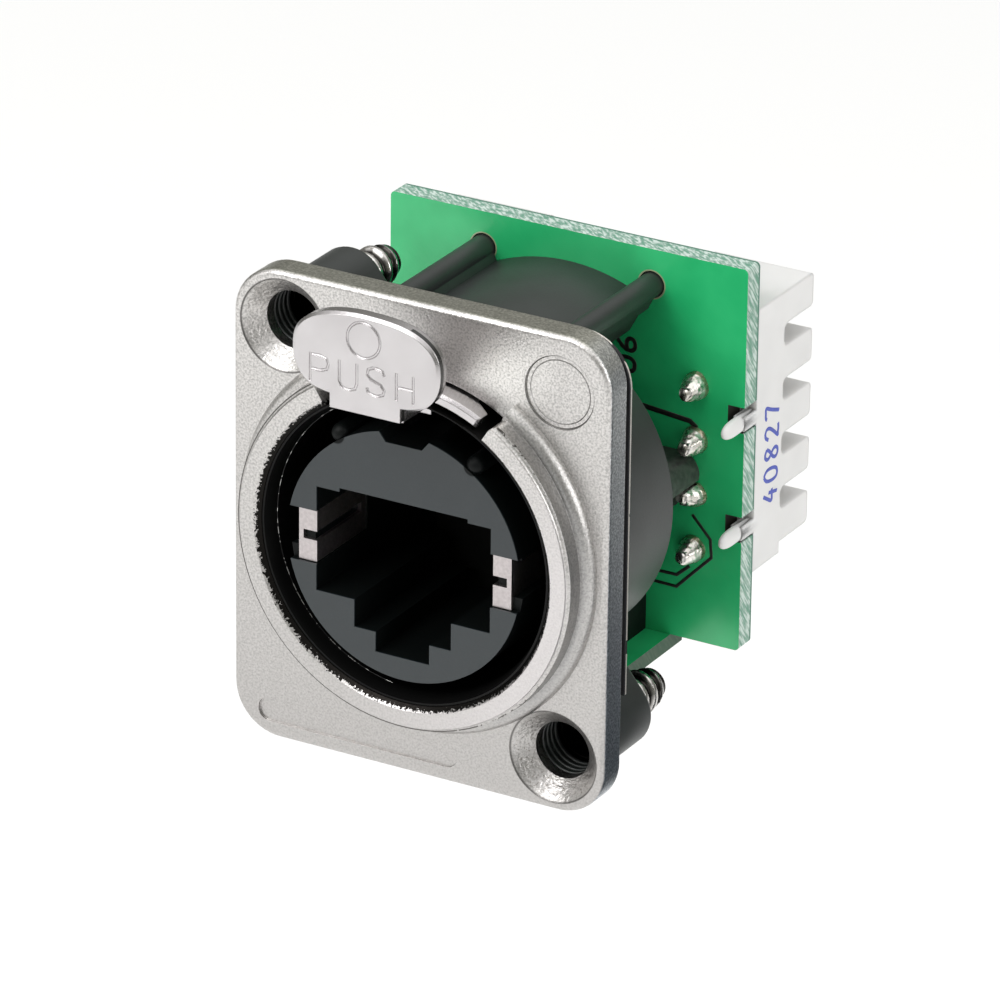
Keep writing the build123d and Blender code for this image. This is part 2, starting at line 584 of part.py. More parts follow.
# Push plate, neck and curved bar, with the hook arm behind
def latch_lever():
    centre, reach = (PUSH_TOP + PUSH_LOW) / 2, (PUSH_TOP - PUSH_LOW) / 2
    right = [(x * PUSH_HALF, centre + z * reach) for x, z in PUSH_SHOULDER]
    left = [(-x, z) for x, z in reversed(right)]
    outline = make_face(Spline((0, PUSH_TOP), *right, (0, PUSH_LOW), *left, periodic=True))
    lever = slab(outline, PUSH_FRONT, PUSH_FRONT + PUSH_THICK)
    lever = chamfer(lever.faces().sort_by(Axis.Y)[0].edges(), PUSH_CHAMFER)
    back = PUSH_FRONT + PUSH_THICK
    lever += block(-CHIN_HALF, CHIN_HALF, PUSH_FRONT, back, CHIN_LOW, centre)
    lever += block(-NECK_HALF, NECK_HALF, back, GUSSET_BACK, NECK_LOW, GUSSET_TOP)
    neck = block(-NECK_HALF, NECK_HALF, back, BAR_FRONT + 1, NECK_LOW, GUSSET_TOP)
    lever += neck & rod(BAR_OUTER, back, BAR_FRONT + 1)
    bar = rod(BAR_OUTER, BAR_FRONT, BAR_BACK) - rod(BAR_INNER, BAR_FRONT - 1, BAR_BACK + 1)
    bar &= top_wedge(BAR_HALF_ANGLE, 14, BAR_FRONT, BAR_BACK)
    bar = chamfer(bar.faces().sort_by(Axis.Y)[0].edges(), BAR_CHAMFER)
    for side in (-1, 1):
        bar -= bar_shoulder(side)
    lever += bar
    lever += block(-HOOK_HALF, HOOK_HALF, BAR_FRONT + 1, BAR_BACK, ARM_LOW, BAR_INNER + 0.3)
    lever += block(-HOOK_HALF, HOOK_HALF, BAR_FRONT + 1, HOOK_BACK, ARM_LOW, ARM_TOP)
    lever += block(-HOOK_HALF, HOOK_HALF, HOOK_FRONT, HOOK_BACK, HOOK_LOW, ARM_TOP)
    return lever


# Return spring between the bar and the end of its bay
def latch_spring():
    height = SPRING_BACK - BAR_BACK - SPRING_WIRE
    path = Helix(pitch=height / SPRING_TURNS, height=height, radius=SPRING_RADIUS)
    section = Plane(origin=path @ 0, z_dir=path % 0) * Circle(SPRING_WIRE / 2)
    coil = sweep(section, path=path)
    return Pos(0, BAR_BACK + SPRING_WIRE / 2, SPRING_Z) * Rot(-90, 0, 0) * coil


jack_contacts = [jack_contact(i) for i in range(8)]
idc_contacts = [idc_contact(side, z) for side in (-1, 1) for z in SLOT_Z]

parts = {
    "flange_shell": flange_shell(),
    "earth_sheet": earth_sheet(),
    "rear_housing": rear_housing(),
    "thread_bush_upper": thread_bush(*FIXINGS[0]),
    "thread_bush_lower": thread_bush(*FIXINGS[1]),
    "jack_insert": jack_insert(),
    "shield_spring_left": shield_spring(-1),
    "shield_spring_right": shield_spring(1),
    "contact_carrier": contact_carrier(jack_contacts),
    "main_board": main_board(),
    "jack_board": jack_board(jack_contacts),
    "idc_block_left": idc_block(-1),
    "idc_block_right": idc_block(1),
    "solder_joints": solder_joints(idc_contacts),
    "latch_lever": latch_lever(),
    "latch_spring": latch_spring(),
}
for number, contact in enumerate(jack_contacts, 1):
    parts[f"jack_contact_{number}"] = contact
for number, contact in enumerate(idc_contacts, 1):
    parts[f"idc_contact_{number}"] = contact

for node, shape in parts.items():
    export_step(Pos(0, -FLANGE_THICK, 0) * shape, f"parts/{node}.step")
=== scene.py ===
import json
import math
import random

import bmesh
import bpy
from mathutils import Matrix, Vector


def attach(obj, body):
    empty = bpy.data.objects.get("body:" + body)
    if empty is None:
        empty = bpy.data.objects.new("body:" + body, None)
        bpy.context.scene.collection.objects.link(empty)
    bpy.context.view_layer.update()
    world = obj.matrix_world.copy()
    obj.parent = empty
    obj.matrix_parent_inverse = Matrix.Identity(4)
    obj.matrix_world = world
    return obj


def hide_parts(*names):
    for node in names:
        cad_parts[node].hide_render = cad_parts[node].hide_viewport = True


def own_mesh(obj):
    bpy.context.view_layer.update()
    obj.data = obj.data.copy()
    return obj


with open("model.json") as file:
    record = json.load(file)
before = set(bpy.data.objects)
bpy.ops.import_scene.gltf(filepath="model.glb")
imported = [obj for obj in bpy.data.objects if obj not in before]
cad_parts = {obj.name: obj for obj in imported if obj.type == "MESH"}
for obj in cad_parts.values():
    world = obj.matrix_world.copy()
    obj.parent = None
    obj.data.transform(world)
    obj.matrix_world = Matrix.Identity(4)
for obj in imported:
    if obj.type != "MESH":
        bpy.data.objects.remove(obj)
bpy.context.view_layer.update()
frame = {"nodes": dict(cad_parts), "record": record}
nodes = frame["nodes"]

# Sizes and places are in millimetres, with Y counted from the flange's front face
MM = 0.001
FLANGE_THICK = 1.95
HOLES = ((-9.5, 12.0), (9.5, -12.0))
SINK_RADIUS = 3.0
BADGE = (9.55, 11.85)
BADGE_RADIUS = 2.35
RING_BORE = 9.95
RING_OUTER = 11.55
RING_FRONT = -2.1
SHEET_MIDDLE = 2.5
BARREL_BORE = 9.5
BARREL_BACK = 12.0
MOUTH_BACK = -0.6
ROD_X = 5.92
ROD_Z = 11.72
ROD_RADIUS = 0.78
LUG_X = 8.15
LUG_Z = -0.15
FACE_FRONT = -1.8
KNOB_X = 4.67
KNOB_Z = 6.6
KNOB_RADIUS = 0.6
PLATE_FRONT = -6.4
BUSH_STEP = 6.4
BUSH_TAIL = 1.43
BOARD_FRONT = 17.9
BOARD_BACK = 19.45
BOARD_BOTTOM = -11.35
BLOCK_SIDE = 12.55
PEG_LEVELS = (3.855, -3.445)


def at(x, y, z):
    return Vector((x, y - FLANGE_THICK, z)) * MM


def add_object(name, data):
    thing = bpy.data.objects.new(name, data)
    bpy.context.scene.collection.objects.link(thing)
    return thing


# Camera, solved from the photo's edges and circles

AZIMUTH = math.radians(29.49)
ELEVATION = math.radians(23.93)
ROLL = math.radians(0.73)
DISTANCE = 471.1
TARGET = (5.84, 0.0, 3.73)
SENSOR_WIDTH = 36
LENS = 284.6
SHIFT_X = -0.0031
SHIFT_Y = 0.0057


def add_camera():
    data = bpy.data.cameras.new("camera")
    camera = add_object("camera", data)
    back = Vector((
        math.sin(AZIMUTH) * math.cos(ELEVATION),
        -math.cos(AZIMUTH) * math.cos(ELEVATION),
        math.sin(ELEVATION),
    ))
    level = Vector((math.cos(AZIMUTH), math.sin(AZIMUTH), 0))
    upright = back.cross(level)
    right = math.cos(ROLL) * level + math.sin(ROLL) * upright
    up = -math.sin(ROLL) * level + math.cos(ROLL) * upright
    place = Matrix((right, up, back)).transposed().to_4x4()
    place.translation = at(*TARGET) + back * DISTANCE * MM
    camera.matrix_world = place
    data.sensor_fit = "HORIZONTAL"
    data.sensor_width = SENSOR_WIDTH
    data.lens = LENS
    data.shift_x = SHIFT_X
    data.shift_y = SHIFT_Y
    data.clip_start = 0.01
    data.clip_end = 50
    bpy.context.scene.camera = camera


# Studio: pale floor, soft lights and a soft sky

FLOOR_LEVEL = -150.0
FLOOR_SIZE = 8000
CARD_PLACE = (21.9, 8.6, -4)
CARD_TARGET = (13, 1, 0)
CARD_WIDTH = 14
CARD_HEIGHT = 40
SKY_STOPS = ((0.0, (0.12, 0.12, 0.11)), (0.45, (0.165, 0.165, 0.15)), (1.0, (1.0, 1.0, 1.0)))
SKY_STRENGTH = 1.7


def add_paper(name, width, height, colour, specular):
    mesh = bpy.data.meshes.new(name)
    wide = width / 2 * MM
    high = height / 2 * MM
    corners = [(-wide, -high, 0), (wide, -high, 0), (wide, high, 0), (-wide, high, 0)]
    mesh.from_pydata(corners, [], [(0, 1, 2, 3)])
    look = Look(name + "_paper")
    look.set(Base_Color=(*colour, 1), Roughness=0.9, Specular_IOR_Level=specular)
    mesh.materials.append(look.material)
    return add_object(name, mesh)


def add_floor():
    floor = add_paper("floor", FLOOR_SIZE, FLOOR_SIZE, (0.95, 0.95, 0.95), 0.1)
    floor.location = at(0, 0, FLOOR_LEVEL)


# A dark card beside the object, which only shows as a dark reflection in the bright metal
def add_card():
    card = add_paper("card", CARD_WIDTH, CARD_HEIGHT, (0.035, 0.045, 0.055), 0.5)
    card.location = at(*CARD_PLACE)
    card.rotation_euler = (at(*CARD_TARGET) - card.location).to_track_quat("Z", "Y").to_euler()
    card.visible_camera = False
    card.visible_shadow = False
    card.visible_diffuse = False


def add_sky():
    world = bpy.data.worlds.new("studio")
    bpy.context.scene.world = world
    world.use_nodes = True
    tree = world.node_tree
    tree.nodes.clear()
    place = tree.nodes.new("ShaderNodeTexCoord")
    split = tree.nodes.new("ShaderNodeSeparateXYZ")
    ramp = tree.nodes.new("ShaderNodeValToRGB")
    ramp.color_ramp.elements.new(0.5)
    for element, (position, colour) in zip(ramp.color_ramp.elements, SKY_STOPS):
        element.position = position
        element.color = (*colour, 1)
    sky = tree.nodes.new("ShaderNodeBackground")
    sky.inputs["Strength"].default_value = SKY_STRENGTH
    out = tree.nodes.new("ShaderNodeOutputWorld")
    tree.links.new(place.outputs["Generated"], split.inputs[0])
    tree.links.new(split.outputs["Z"], ramp.inputs[0])
    tree.links.new(ramp.outputs[0], sky.inputs["Color"])
    tree.links.new(sky.outputs[0], out.inputs[0])


def add_light(name, place, target, size, power):
    data = bpy.data.lights.new(name, "AREA")
    data.shape = "RECTANGLE"
    data.size = size * MM
    data.size_y = size * MM
    data.energy = power
    light = add_object(name, data)
    light.location = at(*place)
    aim = at(*target) - light.location
    light.rotation_euler = aim.to_track_quat("-Z", "Y").to_euler()


def add_studio():
    bpy.context.scene.view_settings.view_transform = "Standard"
    add_floor()
    add_sky()
    add_light("key", (-170, -340, 330), target=(0, 0, 0), size=320, power=1.5)
    add_light("fill", (-420, -300, 120), target=(0, 5, 0), size=300, power=0.3)
    add_light("side", (480, -60, 180), target=(10, 15, 0), size=300, power=0.9)
    add_card()


# Materials


class Look:
    """One procedural material, with short calls for the nodes that it is made of."""

    def __init__(self, name):
        self.material = bpy.data.materials.new(name)
        self.material.use_nodes = True
        self.tree = self.material.node_tree
        self.tree.nodes.clear()
        self.shader = self.tree.nodes.new("ShaderNodeBsdfPrincipled")
        out = self.tree.nodes.new("ShaderNodeOutputMaterial")
        self.tree.links.new(self.shader.outputs[0], out.inputs["Surface"])
        coord = self.tree.nodes.new("ShaderNodeTexCoord")
        self.place = coord.outputs["Object"]
        self.x, self.y, self.z = self.split(self.place)
        self.rightward, self.backward, self.upward = self.split(coord.outputs["Normal"])

    def split(self, source):
        node = self.tree.nodes.new("ShaderNodeSeparateXYZ")
        self.tree.links.new(source, node.inputs[0])
        return node.outputs

    def set(self, **values):
        for name, value in values.items():
            self.shader.inputs[name.replace("_", " ")].default_value = value

    def link(self, source, name):
        self.tree.links.new(source, self.shader.inputs[name])

    def finish(self, colour, fine, least, share, normal):
        """Colour, roughness that a fine noise lifts from the least value by a share, and normal."""
        self.link(colour, "Base Color")
        self.link(self.plus(self.times(fine, share), least), "Roughness")
        self.link(normal, "Normal")
        return self.material

    def noise(self, grain_mm, detail, rough, place=None):
        node = self.tree.nodes.new("ShaderNodeTexNoise")
        node.inputs["Scale"].default_value = 1 / (grain_mm * MM)
        node.inputs["Detail"].default_value = detail
        node.inputs["Roughness"].default_value = rough
        self.tree.links.new(place or self.place, node.inputs["Vector"])
        return node.outputs["Fac"]

    def ramp(self, factor, *stops):
        """A colour or a grey value at each stop of the factor, blended between."""
        node = self.tree.nodes.new("ShaderNodeValToRGB")
        line = node.color_ramp
        while len(line.elements) < len(stops):
            line.elements.new(0.5)
        for element, (position, colour) in zip(line.elements, stops):
            element.position = position
            element.color = (*colour, 1) if isinstance(colour, tuple) else (colour, colour, colour, 1)
        self.tree.links.new(factor, node.inputs[0])
        return node.outputs[0]

    def grains(self, factor, positions, *colours):
        return self.ramp(factor, *zip(positions, colours))

    def mix(self, factor, a, b):
        node = self.tree.nodes.new("ShaderNodeMix")
        node.data_type = "RGBA"
        self.tree.links.new(factor, node.inputs["Factor"])
        for socket, value in ((node.inputs[6], a), (node.inputs[7], b)):
            if isinstance(value, tuple):
                socket.default_value = (*value, 1)
            else:
                self.tree.links.new(value, socket)
        return node.outputs[2]

    def maths(self, operation, a, b=0.0):
        node = self.tree.nodes.new("ShaderNodeMath")
        node.operation = operation
        for socket, value in zip(node.inputs, (a, b)):
            if isinstance(value, (int, float)):
                socket.default_value = value
            else:
                self.tree.links.new(value, socket)
        return node.outputs[0]

    def plus(self, a, b):
        return self.maths("ADD", a, b)

    def minus(self, a, b):
        return self.maths("SUBTRACT", a, b)

    def times(self, a, b):
        return self.maths("MULTIPLY", a, b)

    def either(self, a, b):
        return self.maths("MAXIMUM", a, b)

    def absolute(self, a):
        return self.maths("ABSOLUTE", a)

    def over(self, a, limit):
        """1 where a is over the limit, and 0 elsewhere."""
        return self.maths("GREATER_THAN", a, limit)

    def under(self, a, limit):
        """1 where a is under the limit, and 0 elsewhere."""
        return self.maths("LESS_THAN", a, limit)

    def behind(self, level):
        """1 behind a level in Y, and 0 ahead of it."""
        return self.over(self.y, (level - FLANGE_THICK) * MM)

    def ahead(self, level):
        """1 ahead of a level in Y, and 0 behind it."""
        return self.under(self.y, (level - FLANGE_THICK) * MM)

    def span(self, value, start_mm, end_mm):
        """0 where the value is start_mm, 1 where it is end_mm, and an even blend between."""
        node = self.tree.nodes.new("ShaderNodeMapRange")
        node.inputs["From Min"].default_value = start_mm * MM
        node.inputs["From Max"].default_value = end_mm * MM
        self.tree.links.new(value, node.inputs["Value"])
        return node.outputs[0]

    def near(self, x, z, inner_mm, outer_mm):
        """1 within inner_mm of the line through x and z along Y, and 0 beyond outer_mm."""
        across = self.minus(self.x, x * MM)
        up = self.minus(self.z, z * MM)
        square = self.plus(self.times(across, across), self.times(up, up))
        return self.minus(1, self.span(self.maths("SQRT", square), inner_mm, outer_mm))

    def band(self, x, z, inner_mm, outer_mm):
        """1 between two radii round the line through x and z along Y."""
        outside = self.near(x, z, outer_mm - 0.03, outer_mm + 0.03)
        return self.minus(outside, self.near(x, z, inner_mm - 0.03, inner_mm + 0.03))

    def holes(self, shape, inner_mm, outer_mm):
        """The same disc or band round both fixing holes."""
        upper, lower = HOLES
        return self.either(shape(*upper, inner_mm, outer_mm), shape(*lower, inner_mm, outer_mm))

    def bump(self, height, depth_mm, normal=None):
        node = self.tree.nodes.new("ShaderNodeBump")
        node.inputs["Strength"].default_value = 1.0
        node.inputs["Distance"].default_value = depth_mm * MM
        self.tree.links.new(height, node.inputs["Height"])
        if normal:
            self.tree.links.new(normal, node.inputs["Normal"])
        return node.outputs[0]

    def rounded(self, radius_mm):
        node = self.tree.nodes.new("ShaderNodeBevel")
        node.samples = 6
        node.inputs["Radius"].default_value = radius_mm * MM
        return node.outputs[0]


# Satin nickel over a casting. Each function below lays its own marks over the colour so far.

FACE_GRAIN = (0.36, 0.48, 0.62)
LOW_GRAIN = (0.34, 0.48, 0.64)
RIM_GRAIN = (0.36, 0.50, 0.64)
SINK_FLOOR = (SINK_RADIUS - 0.25, SINK_RADIUS + 0.05)
BADGE_LINES = ((BADGE_RADIUS - 0.08, BADGE_RADIUS + 0.01), (BADGE_RADIUS - 0.37, BADGE_RADIUS - 0.31))
BADGE_RING = (BADGE_RADIUS - 0.32, BADGE_RADIUS - 0.05)
# Where the painted highlight on the flange's front lies, and how far it reaches
PAINTED_HIGHLIGHT_PLACE = (5.2, 12.9)
PAINTED_HIGHLIGHT_REACH = (0.5, 4.4)
MOUTH_BORDER = 10.4
RIM_FRONT = 0.2

# Where these looks start and are full, along X or Z
PAINTED_LIGHT_UP_THE_FACE = (-14, 13)
PAINTED_LIGHT_UP_THE_SIDE = (-6, 12)
FOOT_SHADE_TO_THE_RIGHT = (3, 9)
HIGHLIGHT_TO_THE_RIGHT = (-6, 8)
HIGHLIGHT_GONE_AT_TOP = (1, 8)
SHADE_LINE_BROKEN_TO_THE_RIGHT = (-5, 12)


# The flange's front, with painted light: lighter towards the top, and a painted highlight just right of the
# push plate
def nickel_face(look, speck):
    low = look.grains(speck, LOW_GRAIN, (0.375, 0.365, 0.355), (0.43, 0.415, 0.405), (0.47, 0.455, 0.445))
    high = look.grains(speck, FACE_GRAIN, (0.43, 0.42, 0.41), (0.56, 0.545, 0.53), (0.68, 0.66, 0.645))
    bright = look.grains(speck, FACE_GRAIN, (0.62, 0.61, 0.58), (0.84, 0.825, 0.79), (0.98, 0.96, 0.93))
    # Painted light: the front grows lighter towards the top
    colour = look.mix(look.span(look.z, *PAINTED_LIGHT_UP_THE_FACE), low, high)
    # Painted highlight just right of the push plate
    return look.mix(look.times(look.near(*PAINTED_HIGHLIGHT_PLACE, *PAINTED_HIGHLIGHT_REACH), 0.75), colour, bright)


# The flange's rim, coloured as a painted reflection of a darker room: darker than the front, greenish on top
# and bluish at the right, with lit and shaded copies blended up the side
def nickel_rim(look, colour, speck, sinks):
    top = look.grains(speck, RIM_GRAIN, (0.29, 0.29, 0.25), (0.38, 0.375, 0.33), (0.50, 0.495, 0.44))
    shaded = look.grains(speck, RIM_GRAIN, (0.28, 0.30, 0.33), (0.43, 0.46, 0.50), (0.62, 0.65, 0.68))
    lit = look.grains(speck, RIM_GRAIN, (0.42, 0.43, 0.43), (0.62, 0.63, 0.62), (0.84, 0.85, 0.84))
    # Painted light: the side's lit copy takes over towards the top
    side = look.mix(look.span(look.z, *PAINTED_LIGHT_UP_THE_SIDE), shaded, lit)
    outward = look.ramp(look.either(look.rightward, look.upward), (0.25, 0.0), (0.65, 1.0))
    rim = look.times(look.times(outward, look.behind(RIM_FRONT)), look.minus(1, sinks))
    at_right = look.ramp(look.rightward, (0.35, 0.0), (0.75, 1.0))
    return look.mix(rim, colour, look.mix(at_right, top, side))


# The ragged black border of the collar's mouth: a painted dark reflection of the dark inside
def nickel_mouth_reflection(look):
    border = look.times(look.near(0, 0, RING_BORE, MOUTH_BORDER - 0.04), 0.5)
    ragged = look.over(look.plus(look.noise(0.17, 3, 0.6), border), 0.68)
    return look.times(ragged, look.near(0, 0, MOUTH_BORDER - 0.02, MOUTH_BORDER + 0.01))


# Painted shade: thin dark lines round both countersinks, and two faint ones in the round recess
def nickel_lines(look, colour):
    # Painted shade along the countersinks' edges and in the round recess
    sink_edge_shade = look.holes(look.band, SINK_RADIUS - 0.07, SINK_RADIUS + 0.03)
    colour = look.mix(sink_edge_shade, colour, (0.15, 0.145, 0.14))
    outer, inner = BADGE_LINES
    badge_edge_shade = look.either(look.band(*BADGE, *outer), look.band(*BADGE, *inner))
    return look.mix(look.times(badge_edge_shade, 0.65), colour, (0.20, 0.195, 0.19))


# The collar: painted shade at its foot on the right, a painted highlight on its polished front, and a painted
# shade line round it that is broken up towards the right
def nickel_ring(look, colour, mouth_reflection):
    # Painted shade at the collar's foot, on its right
    foot = look.near(0, 0, RING_OUTER + 0.25, RING_OUTER + 0.95)
    foot = look.minus(foot, look.near(0, 0, RING_OUTER - 0.05, RING_OUTER + 0.05))
    foot = look.times(foot, look.times(look.span(look.x, *FOOT_SHADE_TO_THE_RIGHT), 0.4))
    colour = look.mix(foot, colour, (0.16, 0.165, 0.17))

    # Painted highlight on the polished front, on its right and away from the top
    polished_highlight = look.times(look.ahead(RING_FRONT + 0.15), look.span(look.x, *HIGHLIGHT_TO_THE_RIGHT))
    polished_highlight = look.times(polished_highlight, look.minus(1, look.span(look.z, *HIGHLIGHT_GONE_AT_TOP)))
    polished_highlight = look.times(polished_highlight, look.times(look.minus(1, mouth_reflection), 0.6))
    colour = look.mix(polished_highlight, colour, (0.66, 0.63, 0.635))

    # Painted shade line round the collar's outer edge, broken up towards the right
    line = look.times(look.band(0, 0, RING_OUTER - 0.08, RING_OUTER + 0.05), look.ahead(RING_FRONT + 0.38))
    unbroken = look.over(look.minus(look.noise(0.3, 2, 0.6), look.span(look.x, *SHADE_LINE_BROKEN_TO_THE_RIGHT)), -0.2)
    return look.mix(look.times(line, unbroken), colour, (0.09, 0.085, 0.08))


# Pits in the rough floors of the countersinks, fainter in the upper one
def nickel_pits(look, colour, sinks):
    upper = look.near(*HOLES[0], *SINK_FLOOR)
    floor = look.minus(sinks, look.times(upper, 0.7))
    pits = look.times(look.under(look.noise(0.2, 2, 0.5), 0.38), floor)
    return look.mix(pits, colour, (0.28, 0.265, 0.25))


def cast_nickel():
    look = Look("cast_nickel")
    fine = look.noise(0.15, 2, 0.6)
    speck = look.noise(0.14, 2, 0.5)
    sinks = look.holes(look.near, *SINK_FLOOR)
    mouth_reflection = nickel_mouth_reflection(look)
    colour = nickel_face(look, speck)
    colour = nickel_rim(look, colour, speck, sinks)
    # Painted dark reflection on the collar's mouth
    colour = look.mix(mouth_reflection, colour, (0.012, 0.011, 0.010))
    colour = nickel_lines(look, colour)
    colour = nickel_ring(look, colour, mouth_reflection)
    colour = nickel_pits(look, colour, sinks)
    look.set(Metallic=1.0)
    grain = look.bump(fine, 0.022, look.rounded(0.06))
    rough = look.bump(look.times(look.noise(0.28, 2, 0.5), sinks), 0.045, grain)
    normal = look.bump(look.band(*BADGE, *BADGE_RING), 0.12, rough)
    return look.finish(colour, fine, 0.29, 0.12, normal)


# The latch has the same plating on a smoother casting, with painted shade on the right-facing rim of its
# plate
def latch_nickel():
    look = Look("latch_nickel")
    fine = look.noise(0.2, 2, 0.5)
    broad = look.noise(2.2, 2, 0.5)
    face = look.ramp(broad, (0.3, (0.50, 0.48, 0.485)), (0.7, (0.56, 0.54, 0.545)))
    plate = look.times(look.behind(PLATE_FRONT + 0.2), look.ahead(PLATE_FRONT + 0.55))
    # Painted shade on the plate's right-facing rim
    painted_shade = look.times(plate, look.over(look.rightward, 0.3))
    look.set(Metallic=1.0)
    normal = look.bump(fine, 0.005, look.rounded(0.07))
    return look.finish(look.mix(painted_shade, face, (0.13, 0.13, 0.13)), fine, 0.2, 0.08, normal)


# Rolled sheet: bright at the back, with painted shade on its front half next to the flange and in a few gaps
# along its cut edge
def thin_steel():
    look = Look("thin_steel")
    fine = look.noise(0.2, 3, 0.55)
    plain = look.ramp(fine, (0.3, (0.76, 0.72, 0.66)), (0.7, (0.92, 0.89, 0.84)))
    # Painted shade in a few gaps along the cut edge
    shade_gaps = look.times(look.over(look.noise(1.1, 2, 0.5), 0.62), look.under(look.absolute(look.backward), 0.5))
    # Painted shade on the front half, next to the flange
    painted_shade = look.either(look.ahead(SHEET_MIDDLE), shade_gaps)
    look.link(look.mix(painted_shade, plain, (0.07, 0.07, 0.075)), "Base Color")
    look.set(Metallic=1.0, Roughness=0.6)
    look.link(look.bump(fine, 0.003), "Normal")
    return look.material


def metal(name, dark, light, roughness, grain_mm=0.2, depth_mm=0.003):
    look = Look(name)
    fine = look.noise(grain_mm, 3, 0.55)
    look.set(Metallic=1.0)
    colour = look.ramp(fine, (0.3, dark), (0.7, light))
    return look.finish(colour, fine, roughness - 0.07, 0.15, look.bump(fine, depth_mm))


# Dark plated steel: bright crests, with painted shade making the thread roots and the front faces nearly
# black
def plated_steel():
    look = Look("plated_steel")
    fine = look.noise(0.2, 3, 0.55)
    bright = look.ramp(fine, (0.3, (0.46, 0.44, 0.42)), (0.7, (0.74, 0.72, 0.70)))
    root_shade = look.holes(look.near, BUSH_TAIL - 0.27, BUSH_TAIL - 0.07)
    # Painted shade in the thread roots and on the faces ahead of the step
    dark = look.either(root_shade, look.ahead(BUSH_STEP - 0.2))
    look.set(Metallic=1.0)
    colour = look.mix(dark, bright, (0.035, 0.033, 0.03))
    return look.finish(colour, fine, 0.11, 0.15, look.bump(fine, 0.003))


def carrier_plastic():
    look = Look("carrier_plastic")
    fine = look.noise(0.12, 2, 0.5)
    colour = look.ramp(look.noise(2.5, 2, 0.5), (0.3, 0.003), (0.7, 0.005))
    look.set(Specular_IOR_Level=0.3)
    return look.finish(colour, fine, 0.45, 0.1, look.bump(fine, 0.004))


LUG_SCUFFS_AND_LIGHT = (1.5, 1.9)
LUG_LIGHT_FRONT = 14
LUG_LIGHT_FULL = 15


# Black moulding with a soft sheen outside, pale scuffs with painted light on its right lug, and painted shade
# that makes its bore nearly black
def black_plastic():
    look = Look("black_plastic")
    fine = look.noise(0.12, 2, 0.5)
    broad = look.noise(2.5, 2, 0.5)
    outside = look.ramp(broad, (0.3, (0.013, 0.016, 0.015)), (0.7, (0.018, 0.022, 0.021)))
    # Pale scuffs with painted light on the right lug
    scuffs_and_light = look.ramp(look.noise(0.5, 3, 0.6), (0.35, 0.018), (0.65, (0.05, 0.06, 0.05)))
    along = look.span(look.y, LUG_LIGHT_FRONT - FLANGE_THICK, LUG_LIGHT_FULL - FLANGE_THICK)
    outside = look.mix(look.times(look.near(LUG_X, LUG_Z, *LUG_SCUFFS_AND_LIGHT), along), outside, scuffs_and_light)
    # Painted shade in the bore
    bore_shade = look.times(look.near(0, 0, RING_BORE + 0.02, RING_BORE + 0.07), look.ahead(BARREL_BACK - 0.1))
    look.link(look.minus(0.65, look.times(bore_shade, 0.5)), "Specular IOR Level")
    colour = look.mix(bore_shade, outside, (0.003, 0.003, 0.003))
    return look.finish(colour, fine, 0.38, 0.1, look.bump(fine, 0.004))


# Charcoal moulding, bluish on the face, with painted shade making it nearly black inside and on its two knobs
def dark_plastic():
    look = Look("dark_plastic")
    fine = look.noise(0.16, 2, 0.5)
    broad = look.noise(2.5, 2, 0.5)
    face = look.ramp(broad, (0.3, (0.002, 0.008, 0.011)), (0.7, (0.004, 0.010, 0.013)))
    # Painted shade behind the face and on the two knobs
    inside_shade = look.behind(FACE_FRONT + 0.1)
    for side in (-1, 1):
        inside_shade = look.either(inside_shade, look.near(side * KNOB_X, KNOB_Z, KNOB_RADIUS - 0.1, KNOB_RADIUS - 0.02))
    look.link(look.minus(0.8, look.times(inside_shade, 0.65)), "Specular IOR Level")
    colour = look.mix(inside_shade, face, (0.002, 0.003, 0.003))
    return look.finish(colour, fine, 0.45, 0.1, look.bump(fine, 0.006))


BACK_STRIPE = 0.17
BARREL_SHADE = (11.5, 16)
PEG_SLOT_LIFT = 0.25
PEG_SLOT_HALF = 1.1


# The slanting glass strands that show on the boards' cut edges
def fibre_strands(look):
    along = look.plus(look.plus(look.x, look.z), look.times(look.y, 1.3))
    lines = look.tree.nodes.new("ShaderNodeCombineXYZ")
    look.tree.links.new(along, lines.inputs[0])
    look.tree.links.new(look.times(look.minus(look.x, look.y), 0.35), lines.inputs[1])
    return look.noise(0.30, 2, 0.55, lines.outputs[0])


# Cut edges of the boards: pale strands, darker at the back, with painted shade on the level board and in the
# pegs' slots
def board_edges(look, strands, low):
    fibre = look.ramp(
        strands, (0.38, (0.11, 0.27, 0.19)), (0.50, (0.26, 0.38, 0.32)), (0.60, (0.52, 0.62, 0.57))
    )
    fibre = look.mix(look.behind(BOARD_BACK - BACK_STRIPE), fibre, (0.05, 0.16, 0.11))
    # Painted shade on the level board's edges
    fibre = look.mix(low, fibre, look.ramp(strands, (0.4, (0.006, 0.05, 0.02)), (0.62, (0.03, 0.07, 0.035))))
    cut = look.under(look.absolute(look.x), (BLOCK_SIDE - 0.1) * MM)
    # Painted shade in each peg's slot
    for peg in PEG_LEVELS:
        away = look.absolute(look.minus(look.z, (peg + PEG_SLOT_LIFT) * MM))
        slot = look.times(cut, look.under(away, PEG_SLOT_HALF * MM))
        fibre = look.mix(slot, fibre, (0.012, 0.010, 0.006))
    return fibre


